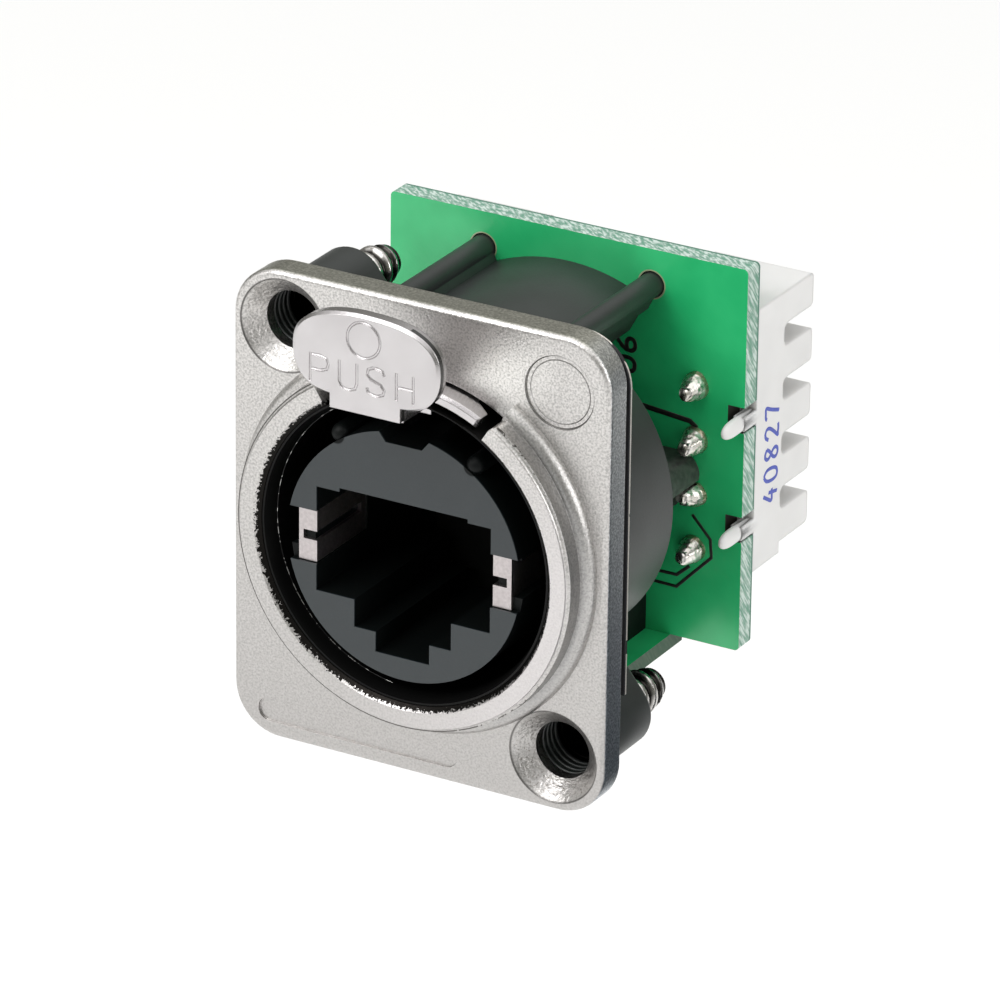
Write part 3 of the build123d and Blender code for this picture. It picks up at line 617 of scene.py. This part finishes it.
# Green varnish on both boards' faces, with painted shade behind the barrel, and a pale ring round each rod
def board_varnish(look):
    broad = look.noise(3.0, 2, 0.5)
    varnish = look.ramp(broad, (0.3, (0.020, 0.44, 0.15)), (0.7, (0.034, 0.53, 0.19)))
    # Painted shade behind the barrel
    varnish = look.mix(look.times(look.near(0, 0, *BARREL_SHADE), 0.5), varnish, (0.008, 0.30, 0.095))
    for side in (-1, 1):
        ring = look.near(side * ROD_X, ROD_Z, ROD_RADIUS + 0.15, ROD_RADIUS + 0.21)
        varnish = look.mix(ring, varnish, (0.30, 0.33, 0.20))
    return varnish


# The upright board's faces look along Y, and those of the small board below it look along Z
def green_board():
    look = Look("green_board")
    low = look.under(look.z, (BOARD_BOTTOM + 0.01) * MM)
    upright = look.times(look.over(look.absolute(look.backward), 0.7), look.minus(1, low))
    level = look.times(look.over(look.absolute(look.upward), 0.7), low)
    face = look.either(upright, level)
    strands = fibre_strands(look)
    look.link(look.mix(face, board_edges(look, strands, low), board_varnish(look)), "Base Color")
    look.link(look.minus(0.6, look.times(face, 0.35)), "Roughness")
    look.set(Specular_IOR_Level=0.65)
    look.link(look.bump(strands, 0.01), "Normal")
    return look.material


def white_plastic():
    look = Look("white_plastic")
    fine = look.noise(0.15, 2, 0.5)
    colour = look.ramp(look.noise(3.5, 2, 0.5), (0.3, (0.66, 0.655, 0.65)), (0.7, (0.71, 0.705, 0.70)))
    look.set(Subsurface_Weight=0.15, Subsurface_Radius=(1, 0.9, 0.8), Subsurface_Scale=0.0006)
    return look.finish(colour, fine, 0.42, 0.1, look.bump(fine, 0.003, look.rounded(0.32)))


# Uneven solder, browned by flux at its foot and in patches
def solder_metal():
    look = Look("solder_metal")
    fine = look.noise(0.5, 2, 0.5)
    foot = look.times(look.behind(BOARD_FRONT - 0.28), 0.75)
    flux = look.either(foot, look.times(look.noise(0.8, 2, 0.5), 0.4))
    bright = look.ramp(fine, (0.35, (0.62, 0.61, 0.58)), (0.65, (0.92, 0.91, 0.89)))
    look.set(Metallic=1.0)
    uneven = look.bump(look.noise(0.45, 1, 0.5), 0.09)
    return look.finish(look.mix(flux, bright, (0.40, 0.28, 0.16)), fine, 0.2, 0.15, uneven)


# The edge in the mouth of the housing: black, with specks of painted highlight
def painted_glint_edge():
    look = Look("mouth_edge")
    # Specks of painted highlight, bright and metallic
    glints = look.over(look.noise(0.5, 3, 0.6), 0.53)
    look.link(look.mix(glints, (0.004, 0.004, 0.004), (0.60, 0.60, 0.58)), "Base Color")
    look.link(glints, "Metallic")
    look.set(Roughness=0.3)
    return look.material


def ink(name, colour):
    look = Look(name)
    pale = tuple(min(1.0, c * 1.25 + 0.01) for c in colour)
    look.link(look.ramp(look.noise(0.25, 2, 0.6), (0.35, colour), (0.75, pale)), "Base Color")
    look.set(Roughness=0.45)
    return look.material


looks = {
    "cast_nickel": cast_nickel(),
    "latch_nickel": latch_nickel(),
    "thin_steel": thin_steel(),
    "black_plastic": black_plastic(),
    "plated_steel": plated_steel(),
    "dark_plastic": dark_plastic(),
    "carrier_plastic": carrier_plastic(),
    "shield_steel": metal("shield_steel", (0.42, 0.385, 0.385), (0.53, 0.49, 0.49), 0.34),
    "green_board": green_board(),
    "white_plastic": white_plastic(),
    "solder": solder_metal(),
    "spring_steel": metal("spring_steel", (0.40, 0.40, 0.40), (0.60, 0.60, 0.60), 0.25),
    "gold_contact": metal("gold_contact", (0.70, 0.50, 0.20), (0.90, 0.68, 0.32), 0.22, 0.15, 0.002),
    "tin_contact": metal("tin_contact", (0.50, 0.50, 0.51), (0.72, 0.72, 0.73), 0.3),
}
black_ink = ink("black_ink", (0.004, 0.006, 0.004))
blue_ink = ink("blue_ink", (0.035, 0.06, 0.36))
glinting_edge_look = painted_glint_edge()

for part in frame["record"]["subparts"]:
    mesh = nodes[part["node"]].data
    mesh.materials.clear()
    mesh.materials.append(looks[part["material_slot"]])


# Mesh helpers


def add_piece(name, mesh, slot, material=None):
    piece = add_object(name, mesh)
    mesh.materials.clear()
    mesh.materials.append(material or looks[slot])
    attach(piece, "socket")
    return piece


def shade_smooth_by_angle(mesh, degrees):
    mesh.shade_smooth()
    mesh.set_sharp_from_angle(angle=math.radians(degrees))


def mesh_from(bm, name):
    mesh = bpy.data.meshes.new(name)
    bm.to_mesh(mesh)
    bm.free()
    return mesh


# Faces between each ring of vertices and the next
def bridge(bm, rings):
    for a, b in zip(rings, rings[1:]):
        for i in range(len(a)):
            j = (i + 1) % len(a)
            bm.faces.new((a[i], a[j], b[j], b[i]))


def box_mesh(low, high):
    bm = bmesh.new()
    bmesh.ops.create_cube(bm, size=1)
    middle = (at(*low) + at(*high)) / 2
    size = at(*high) - at(*low)
    for vertex in bm.verts:
        vertex.co = middle + Vector([vertex.co[i] * size[i] for i in range(3)])
    return mesh_from(bm, "box")


# Round strokes through the points of each line, as one mesh
def strokes(lines, radius_mm, curved=False):
    data = bpy.data.curves.new("strokes", "CURVE")
    data.dimensions = "3D"
    data.bevel_depth = radius_mm * MM
    data.bevel_resolution = 3
    data.use_fill_caps = True
    data.resolution_u = 5
    for line in lines:
        spline = data.splines.new("NURBS" if curved else "POLY")
        spline.points.add(len(line) - 1)
        for point, place in zip(spline.points, line):
            point.co = (*at(*place), 1)
        if curved:
            spline.use_endpoint_u = True
            spline.order_u = 3
    holder = bpy.data.objects.new("strokes", data)
    mesh = bpy.data.meshes.new_from_object(holder)
    bpy.data.objects.remove(holder)
    bpy.data.curves.remove(data)
    return mesh


X_AXIS = 0
Y_AXIS = 1


# Presses a mesh flat against a plane, so that a round stroke becomes a thin film of ink
def flatten(mesh, axis, level_mm, share):
    level = at(level_mm, level_mm, level_mm)[axis]
    for vertex in mesh.vertices:
        vertex.co[axis] = level + (vertex.co[axis] - level) * share


def arc(x, z, radius, start, end, steps, y):
    turn = [math.radians(start + (end - start) * i / steps) for i in range(steps + 1)]
    return [(x + radius * math.cos(a), y, z + radius * math.sin(a)) for a in turn]


# A copy of a CAD node with the cutters taken out of it. Faces square to Y stay flat, and the rest is smooth.
def carve(node, name, cutters):
    piece = add_object(name, nodes[node].data.copy())
    for cutter in cutters:
        tool = add_object("cutter", cutter)
        cut = piece.modifiers.new("cut", "BOOLEAN")
        cut.operation = "DIFFERENCE"
        cut.solver = "EXACT"
        cut.use_self = True
        cut.object = tool
        bpy.context.view_layer.update()
        done = bpy.data.meshes.new_from_object(piece.evaluated_get(bpy.context.evaluated_depsgraph_get()))
        piece.modifiers.clear()
        piece.data = done
        bpy.data.objects.remove(tool)
    mesh = piece.data
    if "custom_normal" in mesh.attributes:
        mesh.attributes.remove(mesh.attributes["custom_normal"])
    shade_smooth_by_angle(mesh, 30)
    for face in mesh.polygons:
        face.use_smooth = abs(face.normal.y) < 0.999
    return piece


# The push plate's four plain capitals, with a plain ring above them

LETTERS = (
    [(-3.75, 12.05), (-3.75, 13.8), (-3.0, 13.8), (-2.62, 13.68), (-2.5, 13.35), (-2.62, 13.0), (-3.0, 12.87),
     (-3.75, 12.87)],
    [(-1.75, 13.8), (-1.75, 12.5), (-1.62, 12.17), (-1.3, 12.05), (-1.0, 12.05), (-0.68, 12.17),
     (-0.55, 12.5), (-0.55, 13.8)],
    [(1.33, 13.4), (1.22, 13.68), (0.9, 13.8), (0.55, 13.78), (0.22, 13.62), (0.17, 13.3), (0.4, 13.05),
     (1.1, 12.8), (1.33, 12.5), (1.25, 12.2), (0.9, 12.05), (0.5, 12.07), (0.22, 12.2), (0.15, 12.45)],
    [(2.15, 13.8), (2.15, 12.05)],
    [(3.3, 13.8), (3.3, 12.05)],
    [(2.15, 12.92), (3.3, 12.92)],
)
LETTER_GROOVE = 0.1
MARK_X = -0.1
MARK_Z = 15.4
MARK_RADIUS = 1.12
MARK_GROOVE = 0.09


def add_latch():
    cutters = [strokes([[(x, PLATE_FRONT, z) for x, z in line]], LETTER_GROOVE) for line in LETTERS]
    cutters.append(strokes([arc(MARK_X, MARK_Z, MARK_RADIUS, 0, 360, 72, PLATE_FRONT)], MARK_GROOVE))
    piece = carve("latch_lever", "push_latch", cutters)
    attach(piece, "latch")
    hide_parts("latch_lever")


# The latch's coil, a copy of the CAD node that rides on the socket


def add_spring():
    piece = add_object("coil", nodes["latch_spring"].data.copy())
    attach(piece, "socket")
    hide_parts("latch_spring")
    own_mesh(piece)


# The white blocks: each square peg is cut back to a thin shank and gets a round nose

NOSE_CENTRE = BOARD_FRONT - 0.5
NOSE_FRONT = 1.6
NOSE_BACK = 3.2
NOSE_HALF_WIDTH = 0.38
NOSE_HALF_HEIGHT = 0.56
PEG_FRONT = BOARD_FRONT - 3
PEG_INNER = BLOCK_SIDE - 1.2
PEG_BELOW = 1.0
PEG_ABOVE = 1.3


def add_nose(bm, x, z):
    made = bmesh.ops.create_uvsphere(bm, u_segments=32, v_segments=24, radius=1)["verts"]
    for vertex in made:
        across, up, along = vertex.co
        reach = min(abs(along), 0.9999)
        swell = math.sqrt((1 - reach ** 3) / (1 - reach ** 2))
        depth = along * (NOSE_FRONT if along < 0 else NOSE_BACK)
        wide = across * swell * NOSE_HALF_WIDTH
        high = up * swell * NOSE_HALF_HEIGHT
        vertex.co = at(x + wide, NOSE_CENTRE + depth, z + high)
    for face in {face for vertex in made for face in vertex.link_faces}:
        face.smooth = True


def peg_cutter(side, outer, back, z):
    left, right = sorted((side * PEG_INNER, side * outer))
    return box_mesh((left, PEG_FRONT, z - PEG_BELOW), (right, back - 0.01, z + PEG_ABOVE))


def add_block(node, name, side):
    shank = BLOCK_SIDE - 2 * NOSE_HALF_WIDTH
    cutters = []
    for z in PEG_LEVELS:
        cutters.append(peg_cutter(side, BLOCK_SIDE + 0.1, BOARD_FRONT, z))
        cutters.append(peg_cutter(side, shank, BOARD_BACK, z))
    piece = carve(node, name, cutters)
    bm = bmesh.new()
    bm.from_mesh(piece.data)
    for z in PEG_LEVELS:
        add_nose(bm, side * (BLOCK_SIDE - NOSE_HALF_WIDTH), z)
    bm.to_mesh(piece.data)
    bm.free()
    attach(piece, "socket")
    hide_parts(node)


# Threaded bush: a lathe outline whose tail carries a coarse screw thread

BUSH_AROUND = 64
BUSH_FRONT = 4.0
BUSH_BACK = 12.2
BUSH_HEAD = 1.95
BUSH_HEAD_BORE = 1.6
BUSH_TAIL_BORE = 1.0
BUSH_TIP = 1.05
BORE_STEP = 6.0
TAIL_FROM = 6.45
TAIL_STEP = 0.055
TAPER_FROM = 11.0
THREAD_PITCH = 1.1
THREAD_DEPTH = 0.34
THREAD_ROOT = 1.02
THREAD_FROM = 7.6
THREAD_RUN_IN = 0.5
FLANK_SLOPE = 3.2
CREST_GAIN = 1.6


def tail_outline():
    outline = []
    y = TAIL_FROM
    while y < BUSH_BACK:
        taper = max(0.0, y - TAPER_FROM) / (BUSH_BACK - TAPER_FROM)
        outline.append((BUSH_TAIL - (BUSH_TAIL - BUSH_TIP) * taper, y))
        y += TAIL_STEP
    return outline


# The full radius on a crest, and less by the thread's depth in a root
def thread_radius(radius, level, turn):
    phase = (level / THREAD_PITCH - turn) % 1.0
    crest = max(0.0, 1 - abs(phase - 0.5) * FLANK_SLOPE)
    start = min(1.0, max(0.0, (level - THREAD_FROM) / THREAD_RUN_IN))
    cut = THREAD_DEPTH * start * (1 - min(1.0, crest * CREST_GAIN))
    return max(radius - cut, THREAD_ROOT)


def add_bush(name, node, x, z):
    outline = [(BUSH_HEAD_BORE, BUSH_FRONT), (BUSH_HEAD, BUSH_FRONT), (BUSH_HEAD, BUSH_STEP)]
    outline += tail_outline()
    outline += [(BUSH_TIP, BUSH_BACK), (BUSH_TAIL_BORE, BUSH_BACK)]
    outline += [(BUSH_TAIL_BORE, BORE_STEP), (BUSH_HEAD_BORE, BORE_STEP)]
    bm = bmesh.new()
    rings = []
    for radius, level in outline:
        ring = []
        for i in range(BUSH_AROUND):
            angle = 2 * math.pi * i / BUSH_AROUND
            r = thread_radius(radius, level, i / BUSH_AROUND) if TAIL_FROM <= level < BUSH_BACK else radius
            ring.append(bm.verts.new(at(x + r * math.cos(angle), level, z + r * math.sin(angle))))
        rings.append(ring)
    bridge(bm, rings + rings[:1])
    bmesh.ops.recalc_face_normals(bm, faces=bm.faces)
    mesh = mesh_from(bm, name)
    shade_smooth_by_angle(mesh, 50)
    piece = add_piece(name, mesh, "plated_steel")
    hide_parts(node)


# Solder on the front of the board: uneven cones round the tails' ends

TAIL_X = 9.175
TAIL_TOP = 5.785
TAIL_PITCH = 3.65
TAIL_PLACES = [(side * TAIL_X, TAIL_TOP - TAIL_PITCH * i) for side in (-1, 1) for i in range(4)]
CONE_AROUND = 28
CONE_LEANS = ((-0.05, -0.16), (-0.05, -0.16), (-0.12, 0.16), (-0.05, -0.16))
CONE_OUTLINE = (
    (0.88, 0.0), (0.86, 0.14), (0.81, 0.36), (0.74, 0.58), (0.66, 0.80), (0.58, 1.00),
    (0.50, 1.18), (0.42, 1.34), (0.32, 1.45), (0.19, 1.51), (0.06, 1.53),
)


def add_cone(bm, rng, x, z, lean):
    waves = [(rng.uniform(0.01, 0.04), rng.randint(2, 4), rng.uniform(0, 6.28)) for _ in range(3)]
    rings = []
    for radius, height in CONE_OUTLINE:
        ring = []
        for i in range(CONE_AROUND):
            angle = 2 * math.pi * i / CONE_AROUND
            wobble = sum(size * math.sin(count * angle + shift + height * 2) for size, count, shift in waves)
            r = radius * (1 + wobble)
            across = x + r * math.cos(angle) + lean[0] * height
            up = z + r * math.sin(angle) + lean[1] * height
            ring.append(bm.verts.new(at(across, BOARD_FRONT - height, up)))
        rings.append(ring)
    bridge(bm, rings)
    bm.faces.new(rings[-1])
    bm.faces.new(rings[0])


def add_solder():
    rng = random.Random(7)
    bm = bmesh.new()
    for number, (x, z) in enumerate(TAIL_PLACES):
        add_cone(bm, rng, x, z, CONE_LEANS[number % len(CONE_LEANS)])
    bmesh.ops.recalc_face_normals(bm, faces=bm.faces)
    mesh = mesh_from(bm, "solder_cones")
    shade_smooth_by_angle(mesh, 50)
    piece = add_piece("solder_cones", mesh, "solder")
    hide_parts("solder_joints")


# Dark tracks and plain numbers. Each digit is one unit wide and DIGIT_HEIGHT high.

TRACK_WIDE_STROKE = 0.19
TRACK_THIN_STROKE = 0.12
TRACK_WIDE = [[(5.0, 3.65), (8.79, 3.3), (9.28, 2.94)]]
TRACKS_THIN = [
    [(9.1, -2.9), (10.4, -4.3), (10.5, -5.5), (8.1, -8.0), (6.0, -7.95)],
    [(9.0, -6.4), (8.1, -7.2), (6.3, -7.2)],
]
DIGIT_HEIGHT = 1.6
DIGITS = {
    "0": [[(0.5, 1.6), (0.12, 1.45), (0, 0.8), (0.12, 0.15), (0.5, 0), (0.88, 0.15), (1, 0.8), (0.88, 1.45),
           (0.5, 1.6)]],
    "2": [[(0.03, 1.2), (0.15, 1.5), (0.5, 1.62), (0.88, 1.45), (0.9, 1.1), (0.55, 0.6), (0.0, 0.0),
           (0.25, 0.1), (0.6, 0.0), (1.0, 0.06)]],
    "4": [[(0.62, 1.62), (0.3, 1.1), (0.0, 0.58), (0.5, 0.6), (1.0, 0.62)],
          [(0.76, 1.0), (0.7, 0.5), (0.66, 0.0)]],
    "6": [[(0.85, 1.6), (0.35, 1.2), (0.05, 0.6), (0.15, 0.12), (0.5, 0.0), (0.88, 0.15), (0.9, 0.6),
           (0.5, 0.82), (0.12, 0.6)]],
    "7": [[(0.0, 1.45), (0.1, 1.6), (0.5, 1.58), (0.98, 1.62), (0.6, 0.9), (0.35, 0.0)]],
    "8": [[(0.9, 1.35), (0.5, 1.65), (0.1, 1.35), (0.2, 1.0), (0.85, 0.55), (0.85, 0.15), (0.5, 0.0),
           (0.1, 0.2), (0.15, 0.6), (0.8, 1.05), (0.9, 1.35)]],
}


BOARD_NUMBER = "06"
BOARD_NUMBER_FOOT = 4.9
BOARD_NUMBER_START = 5.6
BOARD_DIGIT_HEIGHT = 1.35
BOARD_DIGIT_STEP = 1.35
BOARD_DIGIT_STROKE = 0.15
BOARD_INK_SHARE = 0.14
BLOCK_NUMBER = "40827"
BLOCK_NUMBER_FOOT = 22.45
BLOCK_NUMBER_START = -2.75
BLOCK_DIGIT_HEIGHT = 1.75
BLOCK_DIGIT_WIDTH = 0.88
BLOCK_DIGIT_STEP = 1.42
BLOCK_DIGIT_SLANT = 0.12
BLOCK_DIGIT_STROKE = 0.13
BLOCK_INK_SHARE = 0.12


# The strokes of a number, where place turns a digit's index and a point in it into a place on the object
def number_lines(text, place):
    lines = []
    for index, digit in enumerate(text):
        lines += [[place(index, u, v) for u, v in line] for line in DIGITS[digit]]
    return lines


# The number on the board reads from below upwards
def board_number_place(index, u, v):
    x = BOARD_NUMBER_FOOT - BOARD_DIGIT_HEIGHT * v / DIGIT_HEIGHT
    return (x, BOARD_FRONT, BOARD_NUMBER_START + index * BOARD_DIGIT_STEP + u)


def add_board_print():
    wide = strokes([[(x, BOARD_FRONT, z) for x, z in line] for line in TRACK_WIDE], TRACK_WIDE_STROKE)
    thin = strokes([[(x, BOARD_FRONT, z) for x, z in line] for line in TRACKS_THIN], TRACK_THIN_STROKE)
    digits = strokes(number_lines(BOARD_NUMBER, board_number_place), BOARD_DIGIT_STROKE, curved=True)
    for name, mesh in (("board_track_wide", wide), ("board_tracks_thin", thin), ("board_number", digits)):
        flatten(mesh, Y_AXIS, BOARD_FRONT, BOARD_INK_SHARE)
        mesh.shade_smooth()
        add_piece(name, mesh, "green_board", material=black_ink)


# The number on the right block also reads upwards, a little slanting
def block_number_place(index, u, v):
    y = BLOCK_NUMBER_FOOT - BLOCK_DIGIT_HEIGHT * v / DIGIT_HEIGHT
    z = BLOCK_NUMBER_START + index * BLOCK_DIGIT_STEP + u * BLOCK_DIGIT_WIDTH + v * BLOCK_DIGIT_SLANT
    return (BLOCK_SIDE, y, z)


def add_block_number():
    mesh = strokes(number_lines(BLOCK_NUMBER, block_number_place), BLOCK_DIGIT_STROKE, curved=True)
    flatten(mesh, X_AXIS, BLOCK_SIDE, BLOCK_INK_SHARE)
    mesh.shade_smooth()
    add_piece("block_number", mesh, "white_plastic", material=blue_ink)


MOUTH_EDGE_START = 118
MOUTH_EDGE_END = 262
MOUTH_EDGE_STROKE = 0.03
RIB_COUNT = 4
RIB_FIRST = 2.2
RIB_STEP = 0.5
RIB_RADIUS = 1.93
RIB_STROKE = 0.13


# The rounded inner edge of the housing's mouth, and the ribs inside each fixing hole
def add_bore_details():
    # The mouth's edge is drawn only over the arc where its specks of painted highlight show
    edge = arc(0, 0, BARREL_BORE + 0.01, MOUTH_EDGE_START, MOUTH_EDGE_END, 90, MOUTH_BACK - 0.02)
    ring = strokes([edge], MOUTH_EDGE_STROKE)
    ring.shade_smooth()
    add_piece("mouth_edge", ring, "black_plastic", material=glinting_edge_look)
    for name, (x, z) in zip(("bore_ribs_upper", "bore_ribs_lower"), HOLES):
        circles = [arc(x, z, RIB_RADIUS, 0, 360, 72, RIB_FIRST + RIB_STEP * i) for i in range(RIB_COUNT)]
        ribs = strokes(circles, RIB_STROKE)
        ribs.shade_smooth()
        add_piece(name, ribs, "black_plastic")


add_camera()
add_studio()
add_latch()
add_spring()
add_block("idc_block_left", "block_left", -1)
add_block("idc_block_right", "block_right", 1)
add_bush("bush_upper", "thread_bush_upper", *HOLES[0])
add_bush("bush_lower", "thread_bush_lower", *HOLES[1])
add_solder()
add_board_print()
add_bore_details()
add_block_number()
